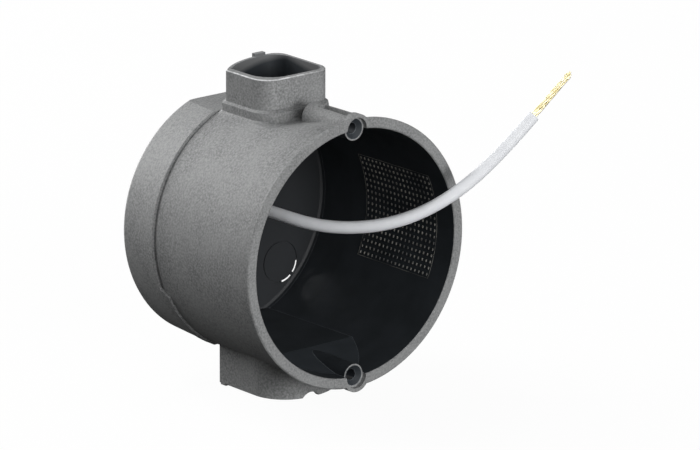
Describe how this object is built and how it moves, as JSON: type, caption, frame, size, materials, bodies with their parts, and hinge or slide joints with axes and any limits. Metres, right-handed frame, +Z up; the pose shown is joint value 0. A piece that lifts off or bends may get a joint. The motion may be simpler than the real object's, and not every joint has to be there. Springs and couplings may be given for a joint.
{
  "type": "flush back box",
  "caption": "Round flush device box with a grey conductive coating, joining spout and collar, and a short bonding lead with a bare end.",
  "frame": {"origin": "centre of the rim's front plane, midway between the two device screws", "axes": "-Y out of the open front, +Z up through the spout, +X to the right seen from the front"},
  "size_m": [0.0864, 0.0656, 0.0778],
  "materials": {
    "box_plastic": "grey sprayed coating outside, bare dark plastic inside",
    "terminal_metal": "tinned",
    "rivet_metal": "plain",
    "insulation": "smooth white PVC",
    "conductor": "bright twisted strands"
  },
  "bodies": {
    "root": {"back_box": "box_plastic", "ring_terminal": "terminal_metal", "rivet": "rivet_metal", "lead_insulation": "insulation", "lead_conductor": "conductor"}
  },
  "joints": []
}
